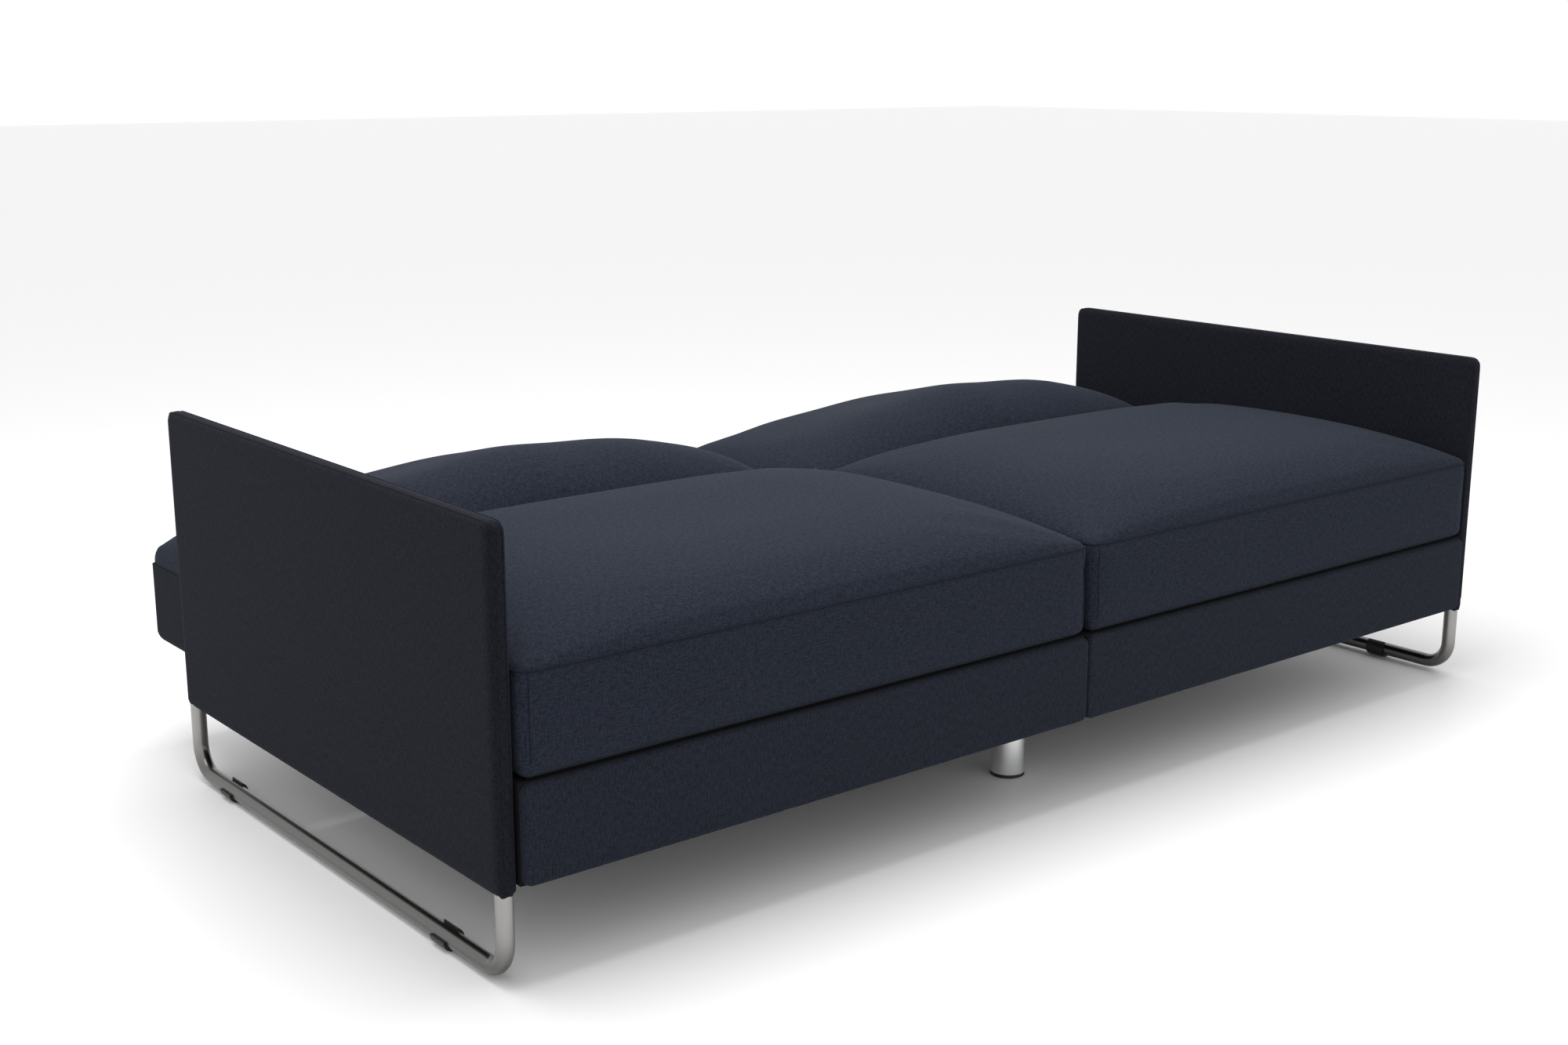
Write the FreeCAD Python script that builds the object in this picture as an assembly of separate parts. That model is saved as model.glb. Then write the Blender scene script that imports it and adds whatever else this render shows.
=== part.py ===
import FreeCAD, Part
import math
import os

# Click-clack sofa bed with a split back, lying flat as a bed.
# Millimetres. X runs along the sofa, Y from the front (-) to the back (+), Z up from the floor.
# The right half (X > 0) is modelled and mirrored to make the left half.

V = FreeCAD.Vector

# ---- overall sizes
overall_length = 1905.0      # outside of one arm to outside of the other
seat_depth = 600.0           # front face to rear face of the seat
hinge_gap = 14.0             # seat's rear face to the back section's front face
back_depth = 456.0           # front to rear of a back section as it lies flat
arm_height = 550.0           # floor to the top of an arm
arm_depth = 890.0            # front to rear of an arm
arm_setback = 10.0           # arm's front edge behind the seat's front face

# ---- arms and sled legs
arm_thickness = 25.0
arm_bottom = 113.0           # floor to the arm panel's lower edge
arm_pad = 3.5                # padded cloth over the arm board
arm_corner = 14.0            # round of the arm's corners in side view
arm_edge = 7.0               # round of the arm's long edges
tube_diameter = 22.0
tube_wall = 1.5
tube_bend = 40.0             # centre line radius of the sled's bends
tube_inset = 13.0            # arm edge to the centre of an upright
clip_thickness = 3.0         # sled tube to floor
clip_length = 33.0
clip_side = 0.5              # extra thickness at a clip's sides, which leaves it a flat sole
clip_front = 150.0           # arm's front edge to the middle of the front clip
clip_rear = 125.0            # arm's rear edge to the middle of the rear clip
stud_up = 45.0               # leg stud's length in the arm board
plug_depth = 22.0            # threaded plug's length in the tube

# ---- seat
base_bottom = 123.0
base_top = 246.0
base_pad = 12.0              # padded cloth over the base's rails
front_joint = 1.0            # between the two front panels
base_corner = 9.0
rail_thickness = 22.0
cloth = 1.5                  # dust cover
slat_thickness = 12.0
slat_width = 70.0
seat_slat_count = 6
deck_thickness = 4.0         # platform board between slats and cushion
deck_setback = 14.0
seat_seam = 376.0            # height of the seam along the cushion's upper edge
seat_crown = 60.0            # rise of the cushion above its seam

# ---- back sections
back_bottom = 165.0
back_seam = 290.0            # height of the seam between the box and its pillow
back_edge = 12.0
back_rail_bottom = 190.0
back_rail_height = 60.0
back_rail_inset = 16.0
back_slat_count = 5
back_slat_inset = 20.0       # end rail to the first slat
pillow_rise = 88.0           # crest of the pillow above the hinge's pivot

# ---- click-clack hinges
pivot_drop = 4.0             # pivot below the seat's seam
recline = 72.0               # degrees from flat to upright
click_count = 4
plate_thickness = 2.6
plate_play = 0.2             # between the two plates of a hinge
plate_clearance = 0.4        # hinge's outer plate to the arm, or to the middle of the sofa
head_radius = 16.0
pin_radius = 5.0
pin_head_radius = 9.0
pin_head = 1.8
running_fit = 0.05           # radial clearance of what turns in a hole
ratchet_radius = 27.0
plate_width = 30.0
pocket_room = 2.5            # room round the moving plates in the soft parts
pawl_swing = 7.0             # degrees that a pawl turns to drop into a notch
pawl_arm = 25.0              # pawl's pivot to its tooth
pawl_tooth = 2.5             # tooth's round
pawl_lift = 1.0              # lifted tooth above the ratchet's rim
pawl_eye = 6.5
pawl_pin = 4.0

# ---- legs under the middle
leg_diameter = 50.8
leg_wall = 1.5
leg_setback = 154.0          # seat's front face to the front leg, and rear face to the rear leg
leg_plate = 100.0
leg_plate_thickness = 4.0
glide_thickness = 5.0
glide_plug = 15.0
leg_screw_spread = 76.0

# ---- bolts and screws
bolt_radius = 4.0
bolt_head_radius = 7.0
bolt_head = 5.0
bolt_room = 0.3              # radial clearance of a bolt in wood and cloth
thread_room = 0.05           # radial clearance of a thread in its nut
nut_radius = 7.5
nut_thickness = 6.5
tee_flange_radius = 11.0
tee_flange = 1.5
tee_barrel_radius = 5.5
tee_barrel = 12.0
screw_radius = 2.5
screw_head_radius = 4.5
screw_head = 1.5
screw_length = 18.0
bolt_height = 190.0
front_bolt_setback = 120.0
plate_bolt_first = 50.0      # seat's rear face to the first bolt of a hinge plate
plate_bolt_pitch = 40.0
foot_margin = 20.0           # hinge plate beyond its bolts

# ---- places worked out from the sizes above
front_y = -(seat_depth + hinge_gap + back_depth) / 2
seat_rear = front_y + seat_depth
back_front = seat_rear + hinge_gap
back_rear = back_front + back_depth
pivot = V(0, seat_rear + hinge_gap / 2, seat_seam - pivot_drop)
arm_outer = overall_length / 2
arm_inner = arm_outer - arm_thickness
arm_middle = (arm_outer + arm_inner) / 2
end_gap = plate_thickness + plate_clearance     # each half's end to the arm, or to the middle of the sofa
arm_front = front_y + arm_setback
arm_rear = arm_front + arm_depth
end_x = arm_inner - end_gap
inner_x = end_gap
rail_bottom = base_bottom + cloth
rail_top = base_top - slat_thickness
rail_front = front_y + base_pad
rail_rear = seat_rear - base_pad
cushion_bottom = base_top + deck_thickness
tube_radius = tube_diameter / 2
tube_low = clip_thickness + tube_radius
tube_top = arm_bottom + arm_pad
upright_front = arm_front + tube_inset
upright_rear = arm_rear - tube_inset
leg_places = (front_y + leg_setback, seat_rear - leg_setback)
plate_bolts = (seat_rear - plate_bolt_first, seat_rear - plate_bolt_first - plate_bolt_pitch)
side_bolts = (front_y + front_bolt_setback,) + plate_bolts
ends = ((end_x, 1), (inner_x, -1))


def block(x0, x1, y0, y1, z0, z1):
    return Part.makeBox(x1 - x0, y1 - y0, z1 - z0, V(x0, y0, z0))


def rod(radius, start, end):
    run = end - start
    return Part.makeCylinder(radius, run.Length, start, run)


def rod_x(radius, x0, x1, place):
    """A rod along X at the Y and Z of a place."""
    return rod(radius, V(min(x0, x1), place.y, place.z), V(max(x0, x1), place.y, place.z))


def mirrored(shape):
    return shape.mirror(V(0, 0, 0), V(1, 0, 0))


def both(shape):
    """The shape with its mirror image, as separate solids."""
    return Part.makeCompound([shape, mirrored(shape)])


def rounded(shape, radius, wanted):
    """Round the edges whose middle point and direction the test accepts."""
    edges = []
    for edge in shape.Edges:
        middle = edge.valueAt((edge.FirstParameter + edge.LastParameter) / 2)
        run = edge.Vertexes[-1].Point - edge.Vertexes[0].Point
        if wanted(middle, run):
            edges.append(edge)
    return shape.makeFillet(radius, edges)


def near(a, b):
    return abs(a - b) < 0.01


def polar(centre, radius, degrees):
    """A point in the side view, at an angle from +Y towards +Z."""
    turn = math.radians(degrees)
    return V(0, centre.y + radius * math.cos(turn), centre.z + radius * math.sin(turn))


def turned(point, centre, degrees):
    offset = point - centre
    turn = math.radians(degrees)
    y = offset.y * math.cos(turn) - offset.z * math.sin(turn)
    z = offset.y * math.sin(turn) + offset.z * math.cos(turn)
    return V(0, centre.y + y, centre.z + z)


def flat(points, x0, x1):
    """A flat plate from its side view outline."""
    low = min(x0, x1)
    outline = [V(low, p.y, p.z) for p in points]
    face = Part.Face(Part.makePolygon(outline + outline[:1]))
    return face.extrude(V(abs(x1 - x0), 0, 0))


def bar(a, b, width, x0, x1):
    """A flat bar with round ends between two points of the side view."""
    run = (b - a).normalize()
    side = V(0, -run.z, run.y) * (width / 2)
    body = flat([a + side, b + side, b - side, a - side], x0, x1)
    for end in (a, b):
        body = body.fuse(rod_x(width / 2, x0, x1, end))
    return body.removeSplitter()


# ---- arms


def arm_outline():
    """The padded arm panel: a slab with soft corners and edges."""
    slab = block(arm_inner, arm_outer, arm_front, arm_rear, arm_bottom, arm_height)
    slab = rounded(slab, arm_corner, lambda middle, run: near(abs(run.x), arm_thickness))

    def on_a_face(middle, run):
        return near(middle.x, arm_inner) or near(middle.x, arm_outer)

    return rounded(slab, arm_edge, on_a_face)


def arm_board():
    board = block(arm_inner + arm_pad, arm_outer - arm_pad, arm_front + arm_pad, arm_rear - arm_pad,
                  arm_bottom + arm_pad, arm_height - arm_pad)
    thickness = arm_thickness - 2 * arm_pad
    return rounded(board, arm_corner - arm_pad, lambda middle, run: near(abs(run.x), thickness))


def sled_path(y_front, y_rear, top):
    """Centre line of a sled leg: down, along the floor and up again."""
    bend = tube_bend
    inner = bend * (1 - math.sqrt(0.5))
    x = arm_middle
    low = tube_low
    corners = (
        Part.LineSegment(V(x, y_front, top), V(x, y_front, low + bend)),
        Part.Arc(V(x, y_front, low + bend), V(x, y_front + inner, low + inner), V(x, y_front + bend, low)),
        Part.LineSegment(V(x, y_front + bend, low), V(x, y_rear - bend, low)),
        Part.Arc(V(x, y_rear - bend, low), V(x, y_rear - inner, low + inner), V(x, y_rear, low + bend)),
        Part.LineSegment(V(x, y_rear, low + bend), V(x, y_rear, top)),
    )
    return Part.Wire([piece.toShape() for piece in corners])


def sled_leg():
    path = sled_path(upright_front, upright_rear, tube_top)

    def along(radius):
        ring = Part.Wire(Part.makeCircle(radius, V(arm_middle, upright_front, tube_top), V(0, 0, 1)))
        return path.makePipeShell([ring], True, False)

    return along(tube_radius).cut(along(tube_radius - tube_wall))


def foot_clip(y):
    """A plastic clip under the sled tube, open over its top and its outer side."""
    start = V(arm_middle, y - clip_length / 2, tube_low)
    end = V(arm_middle, y + clip_length / 2, tube_low)
    ring = rod(tube_radius + clip_thickness + clip_side, start, end)
    ring = ring.cut(rod(tube_radius + running_fit, start, end))
    reach = tube_diameter
    outer = block(arm_middle, arm_middle + reach, start.y, end.y, tube_low, tube_low + reach)
    top = block(arm_middle - tube_radius / 2, arm_middle + 1, start.y, end.y, tube_low, tube_low + reach)
    under = block(arm_middle - reach, arm_middle + reach, start.y, end.y, -reach, 0)
    return ring.cut(outer.fuse(top).fuse(under))


def leg_stud(y):
    """Threaded stud from the plug in a sled upright up into the arm board."""
    low = V(arm_middle, y, tube_top - plug_depth)
    joint = V(arm_middle, y, tube_top)
    plug = rod(tube_radius - tube_wall - thread_room, low, joint)
    return plug.fuse(rod(bolt_radius, joint, joint + V(0, 0, stud_up))).removeSplitter()


def at_side(y):
    return V(0, y, bolt_height)


def arm_bolt(y):
    """Bolt from inside the seat's end rail into the arm."""
    inside = end_x - rail_thickness
    head = rod_x(bolt_head_radius, inside - bolt_head, inside, at_side(y))
    return head.fuse(rod_x(bolt_radius, inside, arm_outer - arm_pad - tee_flange, at_side(y)))


def tee_nut(y):
    face = arm_outer - arm_pad
    flange = rod_x(tee_flange_radius, face - tee_flange, face, at_side(y))
    nut = flange.fuse(rod_x(tee_barrel_radius, face - tee_barrel, face, at_side(y)))
    return nut.cut(rod_x(bolt_radius + thread_room, face - tee_barrel, face, at_side(y)))


def bolt_hole(y, x0, x1):
    return rod_x(bolt_radius + bolt_room, x0, x1, at_side(y))


def make_arms():
    board = arm_board()
    cover = arm_outline().cut(board)
    for y in side_bolts:
        board = board.cut(bolt_hole(y, arm_inner, arm_outer - arm_pad))
        board = board.cut(rod_x(tee_barrel_radius, arm_outer - arm_pad - tee_barrel, arm_outer, at_side(y)))
        board = board.cut(rod_x(tee_flange_radius, arm_outer - arm_pad - tee_flange, arm_outer, at_side(y)))
        cover = cover.cut(bolt_hole(y, arm_inner, arm_inner + arm_pad))
    for y in (upright_front, upright_rear):
        foot = V(arm_middle, y, arm_bottom)
        head = V(arm_middle, y, tube_top)
        cover = cover.cut(rod(tube_radius + running_fit, foot, head))
        stud_hole = rod(bolt_radius + thread_room, head, head + V(0, 0, stud_up))
        board = board.cut(stud_hole)
        cover = cover.cut(stud_hole)
    clips = [foot_clip(arm_front + clip_front), foot_clip(arm_rear - clip_rear)]
    save_pair("arm_board", board)
    save_pair("arm_cover", cover)
    save_pair("sled_leg", sled_leg())
    save_pair("foot_clips", Part.makeCompound(clips))
    save("leg_studs", both(Part.makeCompound([leg_stud(upright_front), leg_stud(upright_rear)])))
    save("arm_bolts", both(Part.makeCompound([arm_bolt(y) for y in side_bolts])))
    save("arm_tee_nuts", both(Part.makeCompound([tee_nut(y) for y in side_bolts])))


# ---- seat


def leg_screw_places():
    """The four screws of each leg plate go up into the two inner rails."""
    across = inner_x + rail_thickness / 2
    places = []
    for leg_y in leg_places:
        for y in (leg_y - leg_screw_spread / 2, leg_y + leg_screw_spread / 2):
            places.append(V(across, y, base_bottom - leg_plate_thickness))
    return places


def screw_up(place):
    head = rod(screw_head_radius, place - V(0, 0, screw_head), place)
    top = place + V(0, 0, leg_plate_thickness + cloth + screw_length)
    return head.fuse(rod(screw_radius, place, top)).removeSplitter()


def screw_up_hole(place):
    top = place + V(0, 0, leg_plate_thickness + cloth + screw_length)
    return rod(screw_radius + running_fit, place, top)


def end_rail(x_outer, direction):
    """Rail along one end of the seat, with the holes of the side bolts."""
    x_inner = x_outer - direction * rail_thickness
    low, high = min(x_outer, x_inner), max(x_outer, x_inner)
    rail = block(low, high, rail_front + rail_thickness, rail_rear - rail_thickness, rail_bottom, rail_top)
    for y in side_bolts:
        rail = rail.cut(bolt_hole(y, low, high))
    return rail


def front_panel():
    """Upholstered front of the base, with soft corners."""
    panel = block(front_joint / 2, end_x, front_y, rail_front, base_bottom, base_top)

    def corner(middle, run):
        return near(middle.y, front_y) and abs(run.z) > 1

    def rim(middle, run):
        return near(middle.y, front_y) and abs(run.z) < 1

    return rounded(rounded(panel, base_corner, corner), base_corner / 2, rim)


def slats(count, x0, x1, y0, y1, z0):
    """Boards side by side along X, evenly spaced from one end to the other."""
    step = (x1 - x0 - slat_width) / (count - 1)
    boards = []
    for number in range(count):
        x = x0 + number * step
        boards.append(block(x, x + slat_width, y0, y1, z0, z0 + slat_thickness))
    return Part.makeCompound(boards)


def rectangle(x0, x1, y0, y1, z):
    return Part.makePolygon([V(x0, y0, z), V(x1, y0, z), V(x1, y1, z), V(x0, y1, z), V(x0, y0, z)])


def seat_cushion():
    """Boxed cushion with a crowned top: steep at the seam, nearly flat in the middle."""
    levels = [(0.0, cushion_bottom), (0.0, seat_seam)]
    for share in (0.35, 0.6, 0.8, 0.92, 0.98):
        levels.append((share, seat_seam + seat_crown * share))
    middle_x = (inner_x + end_x) / 2
    middle_y = (front_y + seat_rear) / 2
    wires = []
    for share, z in levels:
        half_x = (end_x - inner_x) / 2 * (1 - share ** 2.0) ** 0.27
        half_y = seat_depth / 2 * (1 - share ** 3.0) ** 0.4
        wires.append(rectangle(middle_x - half_x, middle_x + half_x, middle_y - half_y, middle_y + half_y, z))
    cushion = Part.makeLoft(wires, True, True)
    for x, direction in ends:
        far = x - direction * pocket_depth()
        cushion = cushion.cut(rod_x(head_radius + pocket_room, x, far, pivot))
        cushion = cushion.cut(bar(pivot, back_screw_places()[0], plate_width + 2 * pocket_room, x, far))
    return cushion


def make_seat():
    inner_rail = end_rail(inner_x, -1)
    dust_cover = block(inner_x, end_x, rail_front, rail_rear, base_bottom, rail_bottom)
    for place in leg_screw_places():
        inner_rail = inner_rail.cut(screw_up_hole(place))
        dust_cover = dust_cover.cut(screw_up_hole(place))
    save_pair("seat_rail_front", block(inner_x, end_x, rail_front, rail_front + rail_thickness,
                                       rail_bottom, rail_top))
    save_pair("seat_rail_rear", block(inner_x, end_x, rail_rear - rail_thickness, rail_rear,
                                      rail_bottom, rail_top))
    save_pair("seat_rail_outer", end_rail(end_x, 1))
    save_pair("seat_rail_inner", inner_rail)
    save_pair("base_panel_front", front_panel())
    save_pair("base_panel_rear", block(inner_x, end_x, rail_rear, seat_rear, base_bottom, base_top))
    save_pair("seat_slats", slats(seat_slat_count, inner_x, end_x, rail_front, rail_rear, rail_top))
    save_pair("seat_deck", block(inner_x + deck_setback, end_x - deck_setback, front_y + deck_setback,
                                 seat_rear - deck_setback, base_top, cushion_bottom))
    save_pair("dust_cover", dust_cover)
    save_pair("seat_cushion", seat_cushion())


def make_centre_joint():
    """Bolts that hold the two halves of the base together, through the inner hinge plates."""
    far = inner_x + rail_thickness
    bolts = []
    nuts = []
    for y in side_bolts:
        head = rod_x(bolt_head_radius, -far - bolt_head, -far, at_side(y))
        bolts.append(head.fuse(rod_x(bolt_radius, -far, far + nut_thickness, at_side(y))))
        nut = rod_x(nut_radius, far, far + nut_thickness, at_side(y))
        nuts.append(nut.cut(rod_x(bolt_radius + thread_room, far, far + nut_thickness, at_side(y))))
    save("centre_bolts", Part.makeCompound(bolts))
    save("centre_nuts", Part.makeCompound(nuts))


def make_centre_legs():
    plates = []
    glides = []
    radius = leg_diameter / 2
    plate_low = base_bottom - leg_plate_thickness
    screw_places = leg_screw_places() + [V(-p.x, p.y, p.z) for p in leg_screw_places()]
    for name, y in zip(("centre_leg_front", "centre_leg_rear"), leg_places):
        foot = V(0, y, glide_thickness)
        head = V(0, y, plate_low)
        save(name, rod(radius, foot, head).cut(rod(radius - leg_wall, foot, head)))
        plate = block(-leg_plate / 2, leg_plate / 2, y - leg_plate / 2, y + leg_plate / 2, plate_low, base_bottom)
        for place in screw_places:
            plate = plate.cut(screw_up_hole(place))
        plates.append(plate)
        plug = rod(radius - leg_wall - thread_room, foot, foot + V(0, 0, glide_plug))
        glides.append(rod(radius, V(0, y, 0), foot).fuse(plug).removeSplitter())
    save("centre_leg_plates", Part.makeCompound(plates))
    save("centre_leg_glides", Part.makeCompound(glides))
    save("centre_leg_screws", Part.makeCompound([screw_up(place) for place in screw_places]))


# ---- hinges: a seat plate outside, a back plate inside, and a pawl in the seat plate's layer


def layer(x, direction, start, thickness):
    """The X span of a hinge layer, counted outwards from a half's end face."""
    return (x + direction * start, x + direction * (start + thickness))


def seat_layer(x, direction):
    return layer(x, direction, 0, plate_thickness)


def back_layer(x, direction):
    return layer(x, direction, -plate_play - plate_thickness, plate_thickness)


def pin_head_layer(x, direction):
    return layer(x, direction, -2 * plate_play - plate_thickness - pin_head, pin_head)


def pocket_depth():
    return 3 * plate_play + plate_thickness + pin_head


def pawl_tip():
    """Middle of the lifted pawl's tooth, just off the ratchet's rim."""
    return polar(pivot, ratchet_radius + pawl_lift + pawl_tooth, -45)


def pawl_pivot():
    """The pawl hangs below its tooth, so that it swings in towards the main pivot."""
    return polar(pawl_tip(), pawl_arm, 254)


def seat_plate(x, direction):
    """Fixed plate: a foot on the seat's end rail, a bar up to the pivot and a notched ratchet."""
    x0, x1 = seat_layer(x, direction)
    foot_low = at_side(plate_bolts[1] - foot_margin) - V(0, 0, foot_margin)
    foot_high = at_side(plate_bolts[0] + foot_margin) + V(0, 0, foot_margin)
    foot = block(min(x0, x1), max(x0, x1), foot_low.y, foot_high.y, foot_low.z, foot_high.z)
    plate = foot.fuse(bar(pivot, at_side(plate_bolts[0]), plate_width, x0, x1))
    plate = plate.fuse(rod_x(head_radius, x0, x1, pivot))
    notch = turned(pawl_tip(), pawl_pivot(), pawl_swing)
    click = recline / click_count
    first = math.degrees(math.atan2(notch.z - pivot.z, notch.y - pivot.y))
    start = first - click / 2
    stop = first + recline + click / 2
    low = polar(pivot, ratchet_radius, start)
    middle = polar(pivot, ratchet_radius, (start + stop) / 2)
    high = polar(pivot, ratchet_radius, stop)
    at = V(min(x0, x1), 0, 0)
    rim = Part.Arc(low + at, middle + at, high + at).toShape()
    centre = pivot + at
    sides = Part.makePolygon([high + at, centre, low + at])
    sector = Part.Face(Part.Wire([rim] + sides.Edges)).extrude(V(plate_thickness, 0, 0))
    plate = plate.fuse(sector)
    for number in range(click_count + 1):
        place = turned(notch, pivot, number * click)
        plate = plate.cut(rod_x(pawl_tooth + 3 * plate_play, x0, x1, place))
    for y in plate_bolts:
        plate = plate.cut(bolt_hole(y, x0, x1))
    return plate.cut(rod_x(pin_radius, x0, x1, pivot)).removeSplitter()


def hinge_pin(x, direction):
    """Rivet fixed in the seat plate, with its head inside the back plate."""
    x0, x1 = pin_head_layer(x, direction)
    inner = x1
    outer = seat_layer(x, direction)[1]
    return rod_x(pin_head_radius, x0, x1, pivot).fuse(rod_x(pin_radius, inner, outer, pivot)).removeSplitter()


def back_screw_places():
    y = back_front + back_rail_inset + 3 * rail_thickness
    z = back_rail_bottom + back_rail_height / 2
    return (V(0, y, z), V(0, y + plate_bolt_pitch, z))


def back_plate(x, direction):
    """Turning plate: an eye on the pivot and a bar to the end rail inside the back section."""
    x0, x1 = back_layer(x, direction)
    near_screw, far_screw = back_screw_places()
    plate = rod_x(head_radius, x0, x1, pivot)
    plate = plate.fuse(bar(pivot, near_screw, plate_width, x0, x1))
    plate = plate.fuse(bar(near_screw, far_screw, plate_width, x0, x1))
    plate = plate.cut(rod_x(pin_radius + running_fit, x0, x1, pivot))
    plate = plate.cut(rod_x(pawl_pin + running_fit, x0, x1, pawl_pivot()))
    for place in back_screw_places():
        plate = plate.cut(rod_x(screw_radius + running_fit, x0, x1, place))
        plate = plate.cut(rod_x(screw_head_radius + running_fit, x1 - direction * screw_head, x1, place))
    return plate.removeSplitter()


def back_screw(x, direction, place):
    surface = back_layer(x, direction)[1]
    seat = surface - direction * screw_head
    head = rod_x(screw_head_radius, seat, surface, place)
    return head.fuse(rod_x(screw_radius, seat - direction * screw_length, seat, place)).removeSplitter()


def pawl(x, direction):
    """Spring dog of the ratchet, lifted off the notches as it is when the bed lies flat."""
    x0, x1 = layer(x, direction, plate_play / 2, plate_thickness - plate_play)
    dog = bar(pawl_pivot(), pawl_tip(), 2 * pawl_tooth, x0, x1)
    dog = dog.fuse(rod_x(pawl_eye, x0, x1, pawl_pivot()))
    shank = rod_x(pawl_pin, pin_head_layer(x, direction)[1], x1, pawl_pivot())
    return dog.fuse(shank).removeSplitter()


def make_hinges():
    seat_plates = [seat_plate(x, direction) for x, direction in ends]
    pins = [hinge_pin(x, direction) for x, direction in ends]
    back_plates = [back_plate(x, direction) for x, direction in ends]
    screws = []
    for x, direction in ends:
        for place in back_screw_places():
            screws.append(back_screw(x, direction, place))
    save("hinge_seat_plates", both(Part.makeCompound(seat_plates)))
    save("hinge_pins", both(Part.makeCompound(pins)))
    save_pair("hinge_back_plates", Part.makeCompound(back_plates))
    save_pair("hinge_screws", Part.makeCompound(screws))
    save_pair("pawl_outer", pawl(end_x, 1))
    save_pair("pawl_inner", pawl(inner_x, -1))


# ---- back sections


def back_end_rail(x, direction):
    """Rail at one end of a back section, where the hinge plate is screwed on."""
    face = back_layer(x, direction)[0]
    far = face - direction * rail_thickness
    return block(min(face, far), max(face, far), back_front + back_rail_inset, back_rear - back_rail_inset,
                 back_rail_bottom, back_rail_bottom + back_rail_height)


def drilled(rail, x, direction):
    face = back_layer(x, direction)[0]
    for place in back_screw_places():
        rail = rail.cut(rod_x(screw_radius + running_fit, face, face - direction * screw_length, place))
    return rail


def hinge_recess(x, direction):
    """Shallow recess in the soft parts for the plates, the pin's head and the pawl's shank."""
    far = x - direction * pocket_depth()
    high_point = pivot.z + head_radius + pocket_room
    last_screw = back_screw_places()[-1]
    low_point = last_screw.z - plate_width / 2 - pocket_room
    rear = last_screw.y + plate_width / 2 + pocket_room
    return block(min(x, far), max(x, far), back_front, rear, low_point, high_point)


def pillow_section(x, share):
    """Side view of the wedge pillow: from the pivot's height steeply up to its crest, then down."""
    crest = pivot.z + pillow_rise
    levels = [(0.0, pivot.z), (0.08, pivot.z + 0.575 * pillow_rise), (0.17, pivot.z + 0.9 * pillow_rise)]
    for along, rise in ((0.28, 1.0), (0.42, 0.95), (0.6, 0.83), (0.78, 0.64), (0.93, 0.42), (0.99, 0.1)):
        levels.append((along, back_seam + (crest - back_seam) * rise))
    outline = [V(x, back_front, back_seam)]
    for along, z in levels:
        outline.append(V(x, back_front + back_depth * along, back_seam + (z - back_seam) * share))
    outline.append(V(x, back_front + back_depth * 0.99, back_seam))
    return Part.makePolygon(outline + outline[:1])


def back_pillow():
    """Pillow on the back section: its ends fall to the seam in a soft round."""
    width = end_x - inner_x
    sections = []
    for across in (0.0, 0.03, 0.1, 0.25, 0.5, 0.75, 0.9, 0.97, 1.0):
        share = 0.2 + 0.8 * (1 - abs(2 * across - 1) ** 1.74) ** 0.389
        sections.append(pillow_section(inner_x + width * across, share))
    return Part.makeLoft(sections, True, True)


def back_box():
    box = block(inner_x, end_x, back_front, back_rear, back_bottom, back_seam)

    def rear_corner(middle, run):
        return near(middle.y, back_rear) and abs(run.z) > 1

    def bottom(middle, run):
        return near(middle.z, back_bottom) and not near(middle.y, back_front)

    return rounded(rounded(box, back_edge, rear_corner), back_edge, bottom)


def make_back():
    end_rails = [back_end_rail(x, direction) for x, direction in ends]
    rail_high = back_rail_bottom + back_rail_height
    x0 = end_rails[1].BoundBox.XMax
    x1 = end_rails[0].BoundBox.XMin
    front = back_front + back_rail_inset
    rear = back_rear - back_rail_inset
    front_rail = block(x0, x1, front, front + rail_thickness, back_rail_bottom, rail_high)
    rear_rail = block(x0, x1, rear - rail_thickness, rear, back_rail_bottom, rail_high)
    boards = slats(back_slat_count, x0 + back_slat_inset, x1 - back_slat_inset, front, rear, rail_high)
    frame = front_rail.fuse(end_rails + [rear_rail] + boards.Solids)
    box = back_box().cut(frame)
    pillow = back_pillow()
    for x, direction in ends:
        recess = hinge_recess(x, direction)
        box = box.cut(recess)
        pillow = pillow.cut(recess)
    save_pair("back_rail_front", front_rail)
    save_pair("back_rail_rear", rear_rail)
    save_pair("back_end_rails", Part.makeCompound([
        drilled(rail, x, direction) for rail, (x, direction) in zip(end_rails, ends)]))
    save_pair("back_slats", boards)
    save_pair("back_box", box)
    save_pair("back_pillow", pillow)


def save(name, shape):
    solids = shape.Solids
    whole = solids[0] if len(solids) == 1 else Part.makeCompound(solids)
    whole.exportStep(f"parts/{name}.step")
    size = whole.BoundBox
    print(f"{name}: {len(solids)} solid(s), valid {whole.isValid()}, "
          f"{size.XLength:.0f} x {size.YLength:.0f} x {size.ZLength:.0f} mm")


def save_pair(name, shape):
    save(f"{name}_right", shape)
    save(f"{name}_left", mirrored(shape))


def main():
    os.makedirs("parts", exist_ok=True)
    make_arms()
    make_seat()
    make_centre_joint()
    make_centre_legs()
    make_hinges()
    make_back()


main()
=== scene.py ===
# %% [markdown]
# A split-back sofa bed, lying flat. The steel, the boards and every place come from the packed
# frame; this lesson upholsters it. The seats and the pillows are blown up from plain boxes by cloth
# simulation, because that gives the pull of real cloth at its seams, and the seams are then cut
# from the finished cloth, so that they follow it exactly.

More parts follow.
